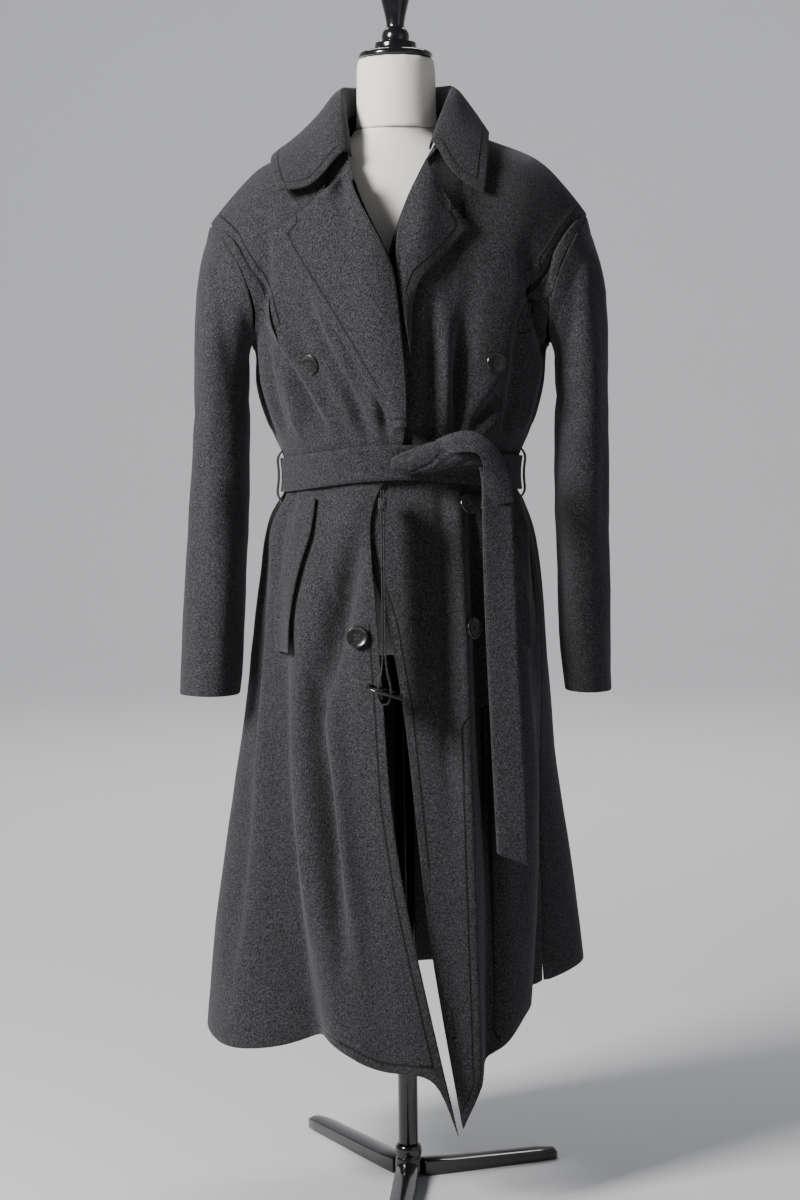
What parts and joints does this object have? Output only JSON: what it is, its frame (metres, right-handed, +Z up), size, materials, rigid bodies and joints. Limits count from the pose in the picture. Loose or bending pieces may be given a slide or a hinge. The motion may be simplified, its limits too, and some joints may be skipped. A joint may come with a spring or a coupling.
{
  "type": "trench coat on dress form",
  "caption": "Belted double-breasted long wool coat hanging open below its tied belt, on a limbless dress form with a turned cap and a three-legged stand.",
  "frame": {"origin": "on the floor, on the axis of the stand's pole", "axes": "+Z up, -Y the front of the coat, +X to the viewer's right"},
  "size_m": [0.5936, 0.5194, 1.667],
  "materials": {
    "wool": "heathered charcoal wool with a short nap",
    "horn": "dark polished horn look",
    "linen": "off-white stretched cloth cover",
    "lacquer": "gloss black lacquer"
  },
  "bodies": {
    "coat_and_form": {"back": "wool", "front_left": "wool", "front_right": "wool", "sleeve_left": "wool", "sleeve_right": "wool", "lapel_left": "wool", "lapel_right": "wool", "collar": "wool", "belt_wrap": "wool", "belt_knot": "wool", "belt_end": "wool", "belt_buckle_strap": "wool", "belt_keeper": "wool", "belt_loop_left": "wool", "belt_loop_right": "wool", "pocket_welt_left": "wool", "pocket_welt_right": "wool", "button_upper_left": "horn", "button_upper_right": "horn", "button_middle_right": "horn", "button_lower_left": "horn", "button_lower_right": "horn", "form_torso": "linen", "form_neck": "linen", "neck_cap": "lacquer", "finial": "lacquer", "pole": "lacquer", "hub": "lacquer", "leg_front": "lacquer", "leg_right": "lacquer", "leg_back": "lacquer"},
    "buckle": {"buckle": "horn"}
  },
  "joints": [
    {"name": "buckle_turn", "type": "hinge", "parent": "coat_and_form", "child": "buckle", "pos_m": [-0.024, -0.214, 0.703], "axis": [0, 1, 0], "range_deg": [-35, 30]}
  ]
}
